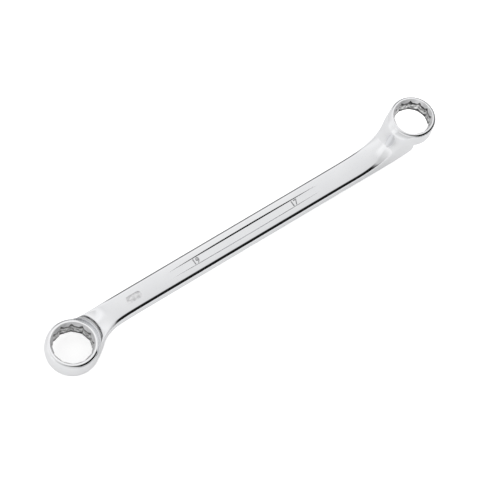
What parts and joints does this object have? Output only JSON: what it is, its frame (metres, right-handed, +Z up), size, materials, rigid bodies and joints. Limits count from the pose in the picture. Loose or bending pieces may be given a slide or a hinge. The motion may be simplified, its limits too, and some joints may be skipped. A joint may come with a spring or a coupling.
{
  "type": "ring spanner",
  "caption": "Polished ring spanner: a flat shank cranked up to a closed bi-hexagon ring at one end and down to a larger one at the other, for turning hexagon nuts and bolts.",
  "frame": {"origin": "on the floor, under the middle of the box round the spanner as it lies", "axes": "+X from the big ring to the small ring, +Z up from the floor that it lies on, +Y across the shank"},
  "size_m": [0.2388, 0.0288, 0.0279],
  "materials": {
    "chrome": "polished"
  },
  "bodies": {
    "root": {"spanner_body": "chrome"}
  },
  "joints": []
}
